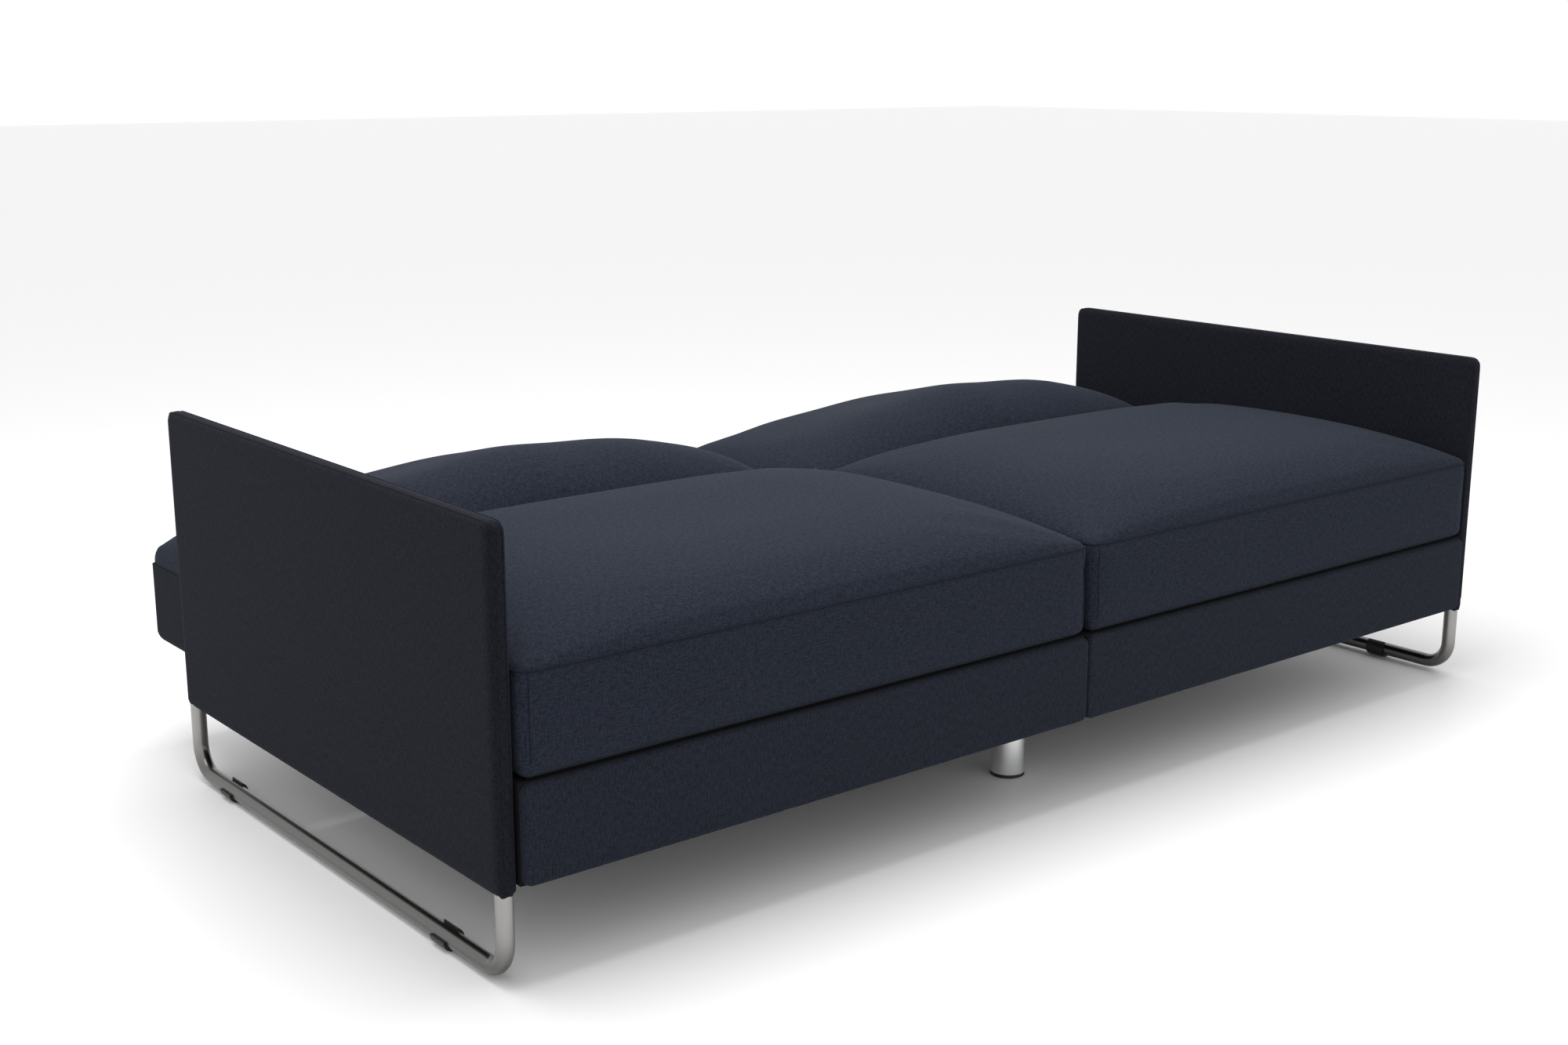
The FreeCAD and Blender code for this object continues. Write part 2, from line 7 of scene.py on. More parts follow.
# %% Frame and tools
import math
import bpy
import numpy as np
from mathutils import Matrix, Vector


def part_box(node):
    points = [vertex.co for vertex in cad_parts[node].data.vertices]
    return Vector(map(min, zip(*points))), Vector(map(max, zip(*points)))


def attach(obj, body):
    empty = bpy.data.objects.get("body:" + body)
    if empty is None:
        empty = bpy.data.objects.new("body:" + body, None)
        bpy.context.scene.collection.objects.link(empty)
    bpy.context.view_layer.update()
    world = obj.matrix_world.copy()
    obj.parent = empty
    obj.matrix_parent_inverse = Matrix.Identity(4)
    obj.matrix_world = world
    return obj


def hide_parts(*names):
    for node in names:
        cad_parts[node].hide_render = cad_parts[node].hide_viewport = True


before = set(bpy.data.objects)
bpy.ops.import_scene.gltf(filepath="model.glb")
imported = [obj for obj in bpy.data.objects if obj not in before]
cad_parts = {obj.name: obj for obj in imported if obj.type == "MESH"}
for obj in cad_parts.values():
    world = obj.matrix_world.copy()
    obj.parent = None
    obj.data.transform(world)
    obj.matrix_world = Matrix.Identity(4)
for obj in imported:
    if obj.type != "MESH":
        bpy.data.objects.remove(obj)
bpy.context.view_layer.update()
SIDES = ("left", "right")
UP = Vector((0, 0, 1))

# %% [markdown]
# The floor, the lights and the camera come first, so that every piece can be looked at as soon as
# it is made. The floor is white and so is the world, as in a catalogue studio: broad soft light
# from above leaves the tops of the cushions pale and their fronts darker.

# %% Camera
FILM_WIDTH = 36.0
LENS = 44.89
EYE = Vector((-1.9833, -2.3122, 1.0342))
HEADING = math.radians(38.866)
DIP = math.radians(13.335)


def add_camera():
    data = bpy.data.cameras.new("camera")
    data.sensor_width = FILM_WIDTH
    data.lens = LENS
    camera = bpy.data.objects.new("camera", data)
    bpy.context.scene.collection.objects.link(camera)
    ahead = Vector((math.sin(HEADING) * math.cos(DIP), math.cos(HEADING) * math.cos(DIP), -math.sin(DIP)))
    camera.location = EYE
    camera.rotation_euler = ahead.to_track_quat("-Z", "Y").to_euler()
    bpy.context.scene.camera = camera
    return camera


print("camera:", add_camera().data.lens, "mm lens")

# %% Lights and floor
WORLD_STRENGTH = 1.0
WHITE = (1.0, 1.0, 1.0, 1.0)
SOFTBOX_PLACE = (-0.45, 0.0, 2.6)
SOFTBOX_AIM = (0.1, 0, 0)
SOFTBOX_SIZE = (1.7, 2.4)
SOFTBOX_WATTS = 50
FLOOR_SIZE = 60
FLOOR_DROP = 0.0005


def add_world():
    world = bpy.data.worlds.new("studio")
    world.use_nodes = True
    background = world.node_tree.nodes["Background"]
    background.inputs["Color"].default_value = WHITE
    background.inputs["Strength"].default_value = WORLD_STRENGTH
    bpy.context.scene.world = world
    bpy.context.scene.view_settings.view_transform = "Standard"


def add_softbox(name, place, aim, size, watts):
    data = bpy.data.lights.new(name, "AREA")
    data.shape = "RECTANGLE"
    data.size, data.size_y = size
    data.energy = watts
    lamp = bpy.data.objects.new(name, data)
    bpy.context.scene.collection.objects.link(lamp)
    lamp.location = place
    lamp.rotation_euler = (Vector(aim) - Vector(place)).to_track_quat("-Z", "Y").to_euler()


def add_floor():
    bpy.ops.mesh.primitive_plane_add(size=FLOOR_SIZE, location=(0, 0, -FLOOR_DROP))
    floor = bpy.context.object
    floor.name = "floor"
    bpy.ops.object.transform_apply(location=True, rotation=True, scale=True)
    return floor


add_world()
add_softbox("overhead", SOFTBOX_PLACE, SOFTBOX_AIM, SOFTBOX_SIZE, SOFTBOX_WATTS)
floor = add_floor()
print("one softbox of", SOFTBOX_WATTS, "W over a floor of", FLOOR_SIZE, "m")

# %% [markdown]
# Materials are sums of sockets. `Wire` wraps a socket so that Python's own operators add Math
# nodes, and `Paint` builds a material, one node at a time. Cloth, metal and wood below are then
# short formulas.

# %% A socket that can be added and multiplied


class Wire:
    def __init__(self, paint, socket):
        self.paint = paint
        self.socket = socket

    def __add__(self, other):
        return self.paint.maths("ADD", self, other)

    def __sub__(self, other):
        return self.paint.maths("SUBTRACT", self, other)

    def __rsub__(self, other):
        return self.paint.maths("SUBTRACT", other, self)

    def __mul__(self, other):
        return self.paint.maths("MULTIPLY", self, other)

    __radd__ = __add__
    __rmul__ = __mul__


print("sockets take +, - and *")

# %% [markdown]
# A material could be wired by hand in the node editor, link by link. In code it is shorter to have
# one method that adds a node of any kind, sets it and links it, and a few that use it.

# %% A material built from nodes


class Paint:
    def __init__(self, name):
        self.material = bpy.data.materials.new(name)
        self.material.use_nodes = True
        self.tree = self.material.node_tree
        self.tree.nodes.clear()

    def add(self, kind, settings=(), values=(), out=0):
        """A node of this kind: settings first, then the values or links of its sockets."""
        node = self.tree.nodes.new("ShaderNode" + kind)
        for name, value in dict(settings).items():
            setattr(node, name, value)
        for name, value in dict(values).items():
            if isinstance(value, Wire):
                self.tree.links.new(value.socket, node.inputs[name])
            else:
                node.inputs[name].default_value = value
        return Wire(self, node.outputs[out])

    def maths(self, operation, a, b):
        return self.add("Math", {"operation": operation}, {0: a, 1: b})

    def mix(self, share, a, b):
        settings = {"data_type": "RGBA"}
        return self.add("Mix", settings, {0: share, 6: a, 7: b}, out=2)

    def noise(self, place, stretch, detail=2.0):
        """Noise on a place stretched by three scales, in cells per metre."""
        scaled = self.add("VectorMath", {"operation": "MULTIPLY"}, {0: place, 1: stretch})
        return self.add("TexNoise", {}, {"Vector": scaled, "Scale": 1.0, "Detail": detail})

    def finish(self, values, bump=None, strength=0.3, depth=0.001):
        """The surface shader. Constants go on its own sockets, links where things vary."""
        if bump is not None:
            values = dict(values)
            values["Normal"] = self.add("Bump", {}, {"Strength": strength, "Distance": depth, "Height": bump})
        surface = self.add("BsdfPrincipled", {}, values)
        output = self.tree.nodes.new("ShaderNodeOutputMaterial")
        self.tree.links.new(surface.socket, output.inputs["Surface"])
        return self.material


print("Paint adds nodes of any kind")

# %% [markdown]
# The cloth is a fine linen-look weave: yarns, thick and thin, run both ways, a little paler or
# darker than the ground. The pattern reads each piece's own UV map, which is laid out in metres
# as a cutter lays the pattern pieces: across and up the fronts, across and along the tops. The
# upright yarns show more on the arms and the base.

# %% Linen cloth
THREADS = 900.0
SHORT, LONG = 430.0, 110.0
CLOUD = 9.0
SLUB_SHARE, FUZZ_SHARE = 0.1, 1.4
CONTRAST, CLOUD_SHARE, PALENESS = 1.55, 0.12, 0.44
WEAVE_HEIGHT = 0.0005


def linen(name, ground, thread, upright=1.0, level=1.0):
    """Plain weave. upright and level say how much the threads of each direction show."""
    paint = Paint(name)
    place = paint.add("TexCoord", out=2)
    warp = paint.noise(place, (SHORT, LONG, 1))
    weft = paint.noise(place, (LONG, SHORT, 1))
    slubs = (paint.noise(place, (SHORT / 2, LONG / 3, 1)) * upright
             + paint.noise(place, (LONG / 3, SHORT / 2, 1)) * level)
    cloud = paint.noise(place, (CLOUD, CLOUD, 1), 3.0)
    fuzz = paint.noise(place, (SHORT, SHORT, 1))
    yarns = warp * upright + weft * level + slubs * SLUB_SHARE + fuzz * FUZZ_SHARE
    middle = ((1 + SLUB_SHARE) * (upright + level) + FUZZ_SHARE) / 2
    share = (yarns - middle) * CONTRAST + cloud * CLOUD_SHARE + PALENESS
    across = paint.add("SeparateXYZ", {}, {0: place}) * (THREADS * math.pi)
    along = paint.add("SeparateXYZ", {}, {0: place}, out=1) * (THREADS * math.pi)
    ribs = paint.maths("SINE", across, 0) * paint.maths("SINE", along, 0)
    values = {"Base Color": paint.mix(share, ground, thread), "Roughness": 0.95, "Specular IOR Level": 0.07,
              "Sheen Weight": 0.03, "Sheen Roughness": 0.5, "Sheen Tint": (0.75, 0.85, 1.0, 1)}
    return paint.finish(values, yarns * 0.4 + ribs * 0.3, 0.3, WEAVE_HEIGHT)


SEAT_CLOTH = linen("seat_cloth", (0.0095, 0.0115, 0.0180, 1), (0.0215, 0.0258, 0.0390, 1))
# Painted shade: the arms and back boxes take a darker copy of the same navy cloth, because the left arm's
# outer face gets more light than the seat and the base.
SHADED_ARM_CLOTH = linen("shaded_arm_cloth", (0.0050, 0.0056, 0.0082, 1), (0.0120, 0.0132, 0.0190, 1), 1.4, 0.5)
BASE_CLOTH = linen("base_cloth", (0.0088, 0.0102, 0.0154, 1), (0.0185, 0.0214, 0.0320, 1), 1.4, 0.5)
# Painted shade: the welts and corner seams take a darker copy of the seat cloth, which paints the shade of
# the crease along each seam.
SHADED_PIPING_CLOTH = linen("shaded_piping_cloth", (0.0058, 0.0070, 0.0106, 1), (0.0128, 0.0152, 0.0230, 1))
print("four cloths of", THREADS, "threads per metre")

# %% [markdown]
# Satin nickel is nearly a mirror that has been brushed: metallic, fairly rough, with faint streaks
# and cloudy patches of finish that only show in the reflections. The sled legs are painted darker
# along the floor and up the bends: painted shade for the dark underside and shadowed floor they reflect.

# %% Metals, plastic and wood
STREAK, STREAK_LENGTH = 900, 60
PATCH = 14
# Painted shade on the low runs of the sled tubes: full below this height, fading out above it.
SHADE_BELOW = 0.022
SHADE_FADE = 22
STREAK_ROUGHNESS = 0.04


def satin_metal(name, colour, roughness, low_shade=None):
    """Brushed metal. Given a darker colour for painted shade, it has that colour along the floor and fades up
    through the bends.
    """
    paint = Paint(name)
    place = paint.add("TexCoord", out=3)
    streaks = paint.noise(place, (STREAK, STREAK, STREAK_LENGTH))
    cloud = paint.noise(place, (PATCH, PATCH, PATCH))
    # Painted shade: a darker colour on the low runs, where the tube reflects the shadowed floor and the dark
    # underside.
    if low_shade:
        height = paint.add("SeparateXYZ", {}, {0: place}, out=2)
        above = paint.maths("SMOOTH_MIN", (height - SHADE_BELOW) * SHADE_FADE, 1)
        colour = paint.mix(paint.maths("MAXIMUM", above, 0), low_shade, colour)
    values = {"Base Color": colour, "Metallic": 1.0,
              "Roughness": (streaks + cloud) * STREAK_ROUGHNESS + (roughness - STREAK_ROUGHNESS)}
    return paint.finish(values, streaks, 0.02, 0.0001)


def moulded(name, colour):
    paint = Paint(name)
    place = paint.add("TexCoord", out=3)
    grain = paint.noise(place, (1600, 1600, 1600))
    values = {"Base Color": colour, "Roughness": grain * 0.2 + 0.4}
    return paint.finish(values, grain, 0.15, 0.0002)


def timber(name, pale, dark, stretch):
    paint = Paint(name)
    place = paint.add("TexCoord", out=3)
    rings = paint.noise(place, stretch, 4.0)
    pores = paint.noise(place, tuple(8 * scale for scale in stretch))
    values = {"Base Color": paint.mix(rings * 1.6 - 0.3, pale, dark), "Roughness": pores * 0.2 + 0.6}
    return paint.finish(values, pores, 0.1, 0.0003)


def fleece(name, colour, bright):
    """Non-woven cloth: fibres pressed flat, with a fine dotted emboss."""
    paint = Paint(name)
    place = paint.add("TexCoord", out=3)
    fibres = paint.noise(place, (700, 700, 700), 4.0)
    dots = paint.add("TexVoronoi", {}, {"Vector": place, "Scale": 420.0})
    values = {"Base Color": paint.mix(fibres, colour, bright), "Roughness": 0.95, "Specular IOR Level": 0.1}
    return paint.finish(values, dots, 0.3, 0.0004)


# Painted light and shade: one nickel in two copies. The sled's is darker, painted shade for the darker
# surroundings its tubes reflect, and the centre legs' is paler, painted light making up for the shade under
# the seat.
NICKEL = satin_metal("satin_nickel", (0.325, 0.317, 0.31, 1), 0.30, low_shade=(0.145, 0.143, 0.14, 1))
LIT_LEG_NICKEL = satin_metal("lit_leg_nickel", (0.82, 0.825, 0.83, 1), 0.22)
ZINC = satin_metal("zinc_plate", (0.48, 0.49, 0.52, 1), 0.42)
BLACK_STEEL = satin_metal("black_steel", (0.02, 0.02, 0.022, 1), 0.5)
BLACK_PLASTIC = moulded("black_plastic", (0.006, 0.006, 0.006, 1))
PINE = timber("pine", (0.62, 0.43, 0.24, 1), (0.42, 0.26, 0.12, 1), (14, 160, 160))
BOARD = timber("pressed_board", (0.46, 0.34, 0.22, 1), (0.30, 0.21, 0.13, 1), (220, 220, 220))
FLEECE = fleece("dust_fleece", (0.003, 0.003, 0.0035, 1), (0.012, 0.012, 0.013, 1))
FLOOR_PAINT = moulded("floor_paint", (0.9, 0.9, 0.9, 1))
floor.data.materials.append(FLOOR_PAINT)

NODE_FINISHES = {
    NICKEL: ("sled_leg",),
    LIT_LEG_NICKEL: ("centre_leg_front", "centre_leg_rear"),
    ZINC: ("leg_studs", "arm_bolts", "arm_tee_nuts", "centre_bolts", "centre_nuts", "centre_leg_plates",
           "centre_leg_screws"),
    BLACK_STEEL: ("hinge", "pawl"),
    BLACK_PLASTIC: ("foot_clips", "centre_leg_glides"),
    PINE: ("seat_rail", "seat_slats", "back_rail", "back_end_rails", "back_slats"),
    BOARD: ("arm_board",),
    FLEECE: ("seat_deck",),
}


def dress_nodes():
    """Give every frame node that stays in sight its own finish."""
    dressed = 0
    for name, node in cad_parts.items():
        for material, starts in NODE_FINISHES.items():
            if name.startswith(starts):
                node.data.materials.clear()
                node.data.materials.append(material)
                dressed += 1
    return dressed


print("frame nodes with their own finish:", dress_nodes())

# %% [markdown]
# Working by hand in code: everything is deselected, then faces, edges or points are picked by
# where they are, and an operator acts on what is picked.

# %% Picking and applying


def alone(piece):
    """Make this piece the only one selected, and the active one."""
    bpy.ops.object.select_all(action="DESELECT")
    piece.select_set(True)
    bpy.context.view_layer.objects.active = piece


def block(name, low, high):
    """A cube at its size and place, to be shaped further."""
    bpy.ops.object.select_all(action="DESELECT")
    bpy.ops.mesh.primitive_cube_add(size=1, location=(low + high) / 2)
    piece = bpy.context.object
    piece.name = name
    piece.scale = high - low
    bpy.ops.object.transform_apply(location=True, rotation=True, scale=True)
    return piece


def pick_edges(piece, wanted):
    """Select, in edit mode, the edges whose middle and direction the test accepts."""
    alone(piece)
    bpy.ops.object.mode_set(mode="EDIT")
    bpy.ops.mesh.select_mode(type="EDGE")
    bpy.ops.mesh.select_all(action="DESELECT")
    bpy.ops.object.mode_set(mode="OBJECT")
    points = piece.data.vertices
    for edge in piece.data.edges:
        a, b = points[edge.vertices[0]].co, points[edge.vertices[1]].co
        edge.select = wanted((a + b) / 2, b - a)
    bpy.ops.object.mode_set(mode="EDIT")


def leave_edit():
    bpy.ops.object.mode_set(mode="OBJECT")


def bevel(piece, offset, segments, wanted):
    """Round the edges that the test accepts."""
    pick_edges(piece, wanted)
    bpy.ops.mesh.bevel(offset=offset, segments=segments, affect="EDGES")
    leave_edit()


def apply(piece, kind, **settings):
    """Add a modifier of this kind, set it and apply it."""
    alone(piece)
    modifier = piece.modifiers.new(kind.lower(), kind)
    for name, value in settings.items():
        setattr(modifier, name, value)
    bpy.ops.object.modifier_apply(modifier=modifier.name)


def points_of(piece):
    flat = np.empty(3 * len(piece.data.vertices), dtype=np.float32)
    piece.data.vertices.foreach_get("co", flat)
    return flat.reshape(-1, 3).astype(np.float64)


def place_points(piece, points):
    piece.data.vertices.foreach_set("co", points.astype(np.float32).ravel())
    piece.data.update()


def lay_out_cloth(piece):
    """A UV map in metres, each face flat on the side it looks to."""
    alone(piece)
    bpy.ops.object.mode_set(mode="EDIT")
    bpy.ops.mesh.select_all(action="SELECT")
    bpy.ops.uv.cube_project(cube_size=1.0, correct_aspect=False)
    leave_edit()


def finish_cloth(piece, material, body, *nodes):
    """The last steps of every cloth piece: cloth laid out, smooth shading, its body and its node."""
    lay_out_cloth(piece)
    alone(piece)
    bpy.ops.object.shade_smooth()
    piece.data.materials.clear()
    piece.data.materials.append(material)
    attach(piece, body)
    if nodes:
        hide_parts(*nodes)
    print(piece.name, "has", len(piece.data.polygons), "faces")


print("tools for picking, bevelling, applying and finishing are ready")

# %% [markdown]
# Every cushion here starts as a box with rounded upright corners. Rounding those edges of a cube
# keeps the sides flat, which a sphere-like start would not.

# %% A soft box from a cube
TOUCH = 1e-5


def soft_box(name, low, high, corner):
    """A block with its upright corners rounded."""
    piece = block(name, low, high)
    bevel(piece, corner, 6, lambda middle, run: abs(run.z) > 0.9 * (high.z - low.z))
    return piece


def remeshed(piece, cell):
    """Even square cells, which cloth needs to bend the same way everywhere."""
    apply(piece, "REMESH", mode="VOXEL", voxel_size=cell, adaptivity=0)


print("edges within", TOUCH, "m of a face count as on it")

# %% [markdown]
# A cushion is sewn a little smaller than it ends up and the filling pushes the cloth out. The same
# happens here: the shape is remeshed to even cells, the points on its seams are pinned, and the
# Cloth modifier's pressure blows it up for twenty frames. How far a point may move is capped, and
# the cloth is kept inside its room, which leaves it flat where it presses on its neighbours.

# %% Blow up a cushion
CELL = 0.0085
FRAMES = 20
EASE = 0.5
PRESSURE = 4.0
STRETCH_STIFFNESS = 12
BEND_STIFFNESS = 0.6
CROWN_PASSES = 18
RIM_PASSES = 2


def blown(piece, pinned, cap, low, high):
    """Blow the piece up by cloth simulation, each move eased and capped, inside a box."""
    before = points_of(piece)
    group = piece.vertex_groups.new(name="seams")
    group.add([int(i) for i in np.nonzero(pinned(before))[0]], 1.0, "REPLACE")
    scene = bpy.context.scene
    scene.frame_set(1)
    modifier = piece.modifiers.new("cloth", "CLOTH")
    settings = modifier.settings
    settings.use_pressure = True
    settings.uniform_pressure_force = PRESSURE
    settings.effector_weights.gravity = 0
    settings.vertex_group_mass = "seams"
    settings.quality = 4
    settings.tension_stiffness = STRETCH_STIFFNESS
    settings.compression_stiffness = STRETCH_STIFFNESS
    settings.bending_stiffness = BEND_STIFFNESS
    modifier.point_cache.frame_end = FRAMES
    for number in range(1, FRAMES + 1):
        scene.frame_set(number)
    alone(piece)
    bpy.ops.object.modifier_apply(modifier=modifier.name)
    after = points_of(piece)
    scene.frame_set(1)
    move = after - before
    length = np.maximum(np.linalg.norm(move, axis=1), 1e-9)[:, None]
    after = before + EASE * move * np.minimum(1, cap / length)
    place_points(piece, np.clip(after, low, high))
    piece.vertex_groups.clear()


def fill(piece, pinned, cap, low, high, crown):
    """Blow the piece up, then let the cloth of its crown settle, which leaves its rims crisp."""
    blown(piece, pinned, cap, np.array(low), np.array(high))
    group = piece.vertex_groups.new(name="crown")
    group.add([int(i) for i in np.nonzero(crown(points_of(piece)))[0]], 1.0, "REPLACE")
    apply(piece, "SMOOTH", factor=0.5, iterations=CROWN_PASSES, vertex_group="crown")
    piece.vertex_groups.clear()
    apply(piece, "SMOOTH", factor=0.5, iterations=RIM_PASSES)


print("cushions are blown up for", FRAMES, "frames")

# %% [markdown]
# A sewn seam stands up as a thin ridge. It is cut from the finished cloth: a plane slices the
# cushion, only the cut's outline is kept, and that outline becomes a slim round cord of folded
# cloth, half sunk in the surface.

# %% Seams cut from the cloth
MERGE = 0.0012


def seam(source, name, place, normal, thickness, material, body, keep=None):
    """A ridge where a plane cuts the source, on the part of the outline that keep accepts."""
    alone(source)
    bpy.ops.object.duplicate()
    ridge = bpy.context.object
    ridge.name = name
    bpy.ops.object.mode_set(mode="EDIT")
    bpy.ops.mesh.select_all(action="SELECT")
    bpy.ops.mesh.bisect(plane_co=place, plane_no=normal, use_fill=False, clear_inner=True, clear_outer=True)
    bpy.ops.mesh.select_all(action="SELECT")
    bpy.ops.mesh.remove_doubles(threshold=MERGE)
    leave_edit()
    if keep is not None:
        pick_edges(ridge, lambda middle, run: not keep(middle))
        bpy.ops.mesh.delete(type="EDGE")
        bpy.ops.mesh.select_all(action="SELECT")
        bpy.ops.mesh.delete_loose(use_edges=False)
        leave_edit()
    alone(ridge)
    bpy.ops.object.convert(target="CURVE")
    ridge.data.bevel_depth = thickness / 2
    ridge.data.bevel_resolution = 2
    ridge.data.use_fill_caps = True
    bpy.ops.object.convert(target="MESH")
    apply(ridge, "SMOOTH", factor=0.5, iterations=2)
    finish_cloth(ridge, material, body)


print("points of a seam closer than", MERGE, "m are merged")

# %% [markdown]
# The seat cushions. A boxed cushion has a straight band round its sides and a crowned top. The
# crown is steep just inside the seam and nearly flat in the middle, so its height is a product of
# two rounded hills, one across and one along.

# %% Crown of the seat
SEAT_CORNER = 0.006
SEAT_UNDER = 0.005
SEAT_TUCK = 0.022
SEAT_SAG = 0.0025
SEAT_INSET = 0.0004
SEAT_BAND = 0.126
SEAT_CAP = 0.007
SEAT_FRONT_PLAY = 0.004
SEAT_TOP_PLAY = 0.006
PINNED_BELOW = 0.004
SEAM_REACH = 0.006
SEAM_DEPTH = 0.02
RIM = 0.012
SEAM_RIDGE = 0.0036
END_SEAM_IN = 0.013
END_SEAM_RIDGE = 0.0016
END_SEAM_CLEAR = 0.02
CROWN = 0.0635
CROWN_ACROSS = (4.1, 0.47)
CROWN_ALONG = (2.49, 0.338)
TOP_DEPTH = 0.003


def hill(share, squareness, sharpness):
    """0 at both ends, 1 in the middle: the squarer, the flatter its top."""
    from_middle = np.clip(np.abs(2 * share - 1), 0, 1)
    return (1 - from_middle ** squareness) ** sharpness


def seat_crown(u, v):
    return CROWN * hill(u, *CROWN_ACROSS) * hill(v, *CROWN_ALONG)


def raised(piece, seam_z, low, high, rise):
    """Lift the points of the flat top by a rise that depends on where they are."""
    points = points_of(piece)
    u = (points[:, 0] - low.x) / (high.x - low.x)
    v = (points[:, 1] - low.y) / (high.y - low.y)
    top = points[:, 2] > seam_z - TOP_DEPTH
    points[top, 2] += rise(u, v)[top]
    place_points(piece, points)


def tucked_box(name, low, high, corner, tuck, under):
    """A soft box whose lower corners are rounded as seen from the front, as cloth is tucked under."""
    box = soft_box(name, low, high, corner)
    pick_edges(box, lambda middle, run: middle.z < low.z + TOUCH and abs(run.y) > 0.5 * (high.y - low.y))
    bpy.ops.mesh.bevel(offset=tuck, segments=6, affect="EDGES", clamp_overlap=True)
    leave_edit()
    bevel(box, under, 4, lambda middle, run: middle.z < low.z + TOUCH and abs(run.x) > 0.5 * (high.x - low.x))
    return box


def make_seat(side):
    node = "seat_cushion_" + side
    low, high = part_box(node)
    seam_z = low.z + SEAT_BAND
    inset = Vector((SEAT_INSET, SEAT_INSET, 0))
    start = low + inset - UP * SEAT_SAG
    cushion = tucked_box("seat_" + side, start, Vector((high.x, high.y, seam_z)) - inset,
                         SEAT_CORNER, SEAT_TUCK, SEAT_UNDER)
    remeshed(cushion, CELL)
    raised(cushion, seam_z, low + inset, high - inset, seat_crown)
    remeshed(cushion, CELL)

    def rim_distance(points):
        across = np.minimum(points[:, 0] - low.x, high.x - points[:, 0])
        return np.minimum(across, np.minimum(points[:, 1] - low.y, high.y - points[:, 1]))

    def pinned(points):
        on_seam = (np.abs(points[:, 2] - seam_z) < SEAM_REACH) & (rim_distance(points) < SEAM_DEPTH)
        return on_seam | (points[:, 2] < start.z + PINNED_BELOW)

    def crown(points):
        return (points[:, 2] > seam_z + RIM) & (rim_distance(points) > RIM)

    room_low = (low.x, low.y - SEAT_FRONT_PLAY, start.z)
    room_high = (high.x, high.y, high.z + SEAT_TOP_PLAY)
    fill(cushion, pinned, SEAT_CAP, room_low, room_high, crown)
    apply(cushion, "SUBSURF", levels=1, render_levels=1)
    finish_cloth(cushion, SEAT_CLOTH, "frame", node)
    middle = (low + high) / 2
    seam(cushion, "seat_welt_" + side, (middle.x, middle.y, seam_z), UP, SEAM_RIDGE, SHADED_PIPING_CLOTH, "frame")
    near_x, far_x = sorted((abs(low.x), abs(high.x)))
    for end, x in (("inner", near_x + END_SEAM_IN), ("outer", far_x - END_SEAM_IN)):
        x = math.copysign(x, middle.x)
        seam(cushion, f"seat_corner_seam_{end}_{side}", (x, middle.y, middle.z), (1, 0, 0), END_SEAM_RIDGE,
             SHADED_PIPING_CLOTH, "frame",
             lambda p: p.y < low.y + END_SEAM_CLEAR and low.z + END_SEAM_CLEAR < p.z < seam_z)


for side in SIDES:
    make_seat(side)

# %% [markdown]
# The back sections lie flat behind the seat: an upholstered box, and on it a wedge pillow that is
# highest by the hinge, where it becomes the small of the back when the sofa is up. The box is
# firm and stays a bevelled block. The wedge's outline is a short row of heights along its depth,
# rounded off, and the cloth simulation plumps it.

# %% Wedge of the back
PILLOW_BAND = 0.016
PILLOW_RISE = 0.158
BACK_CORNER = 0.006
BACK_BULGE = 0.004
BACK_RIDGE = 0.0032
BACK_INSET = 0.0003
BACK_UNDER = 0.012
FINE_CELL = 0.006
PILLOW_SUNK = 0.012
PILLOW_CAP = 0.008
PILLOW_TOP_PLAY = 0.015
CROWN_ABOVE = 0.03
WEDGE = ((0.0, 0.42), (0.02, 0.62), (0.06, 0.76), (0.11, 0.88), (0.18, 0.97),
         (0.27, 0.985), (0.38, 0.93), (0.5, 0.845), (0.6, 0.775), (0.7, 0.71),
         (0.8, 0.635), (0.9, 0.52), (0.96, 0.38), (0.99, 0.2), (1.0, 0.0))


def smooth_curve(points, reach=0.03, samples=800):
    """The line through the points with its corners rounded off."""
    x, y = np.array(points).T
    places = np.linspace(-2 * reach, 1 + 2 * reach, samples)
    heights = np.interp(places, x, y)
    width = int(reach * samples)
    window = np.hanning(width + 2)[1:-1]
    padded = np.pad(heights, width, mode="edge")
    rounded = np.convolve(padded, window / window.sum(), mode="same")[width:-width]
    return lambda share: np.interp(share, places, rounded)


wedge_curve = smooth_curve(WEDGE)
WEDGE_ACROSS = (1.74, 0.389)
SLACK, SLACK_AT, SLACK_WIDTH = 0.085, 0.18, 0.17
INNER_LEAN = 0.01
RIPPLE, RIPPLE_WAVES, RIPPLE_START = 0.012, 4.2, 0.3


def back_rise(u, v):
    """Height of the pillow over its seam: steep at the hinge, a long fall to the rear."""
    slack = 1 - SLACK * np.exp(-((u - SLACK_AT) / SLACK_WIDTH) ** 2) - INNER_LEAN * (1 - u)
    ripple = 1 + RIPPLE * np.sin(2 * np.pi * (RIPPLE_WAVES * u + RIPPLE_START))
    return PILLOW_RISE * wedge_curve(v) * hill(u, *WEDGE_ACROSS) * slack * ripple


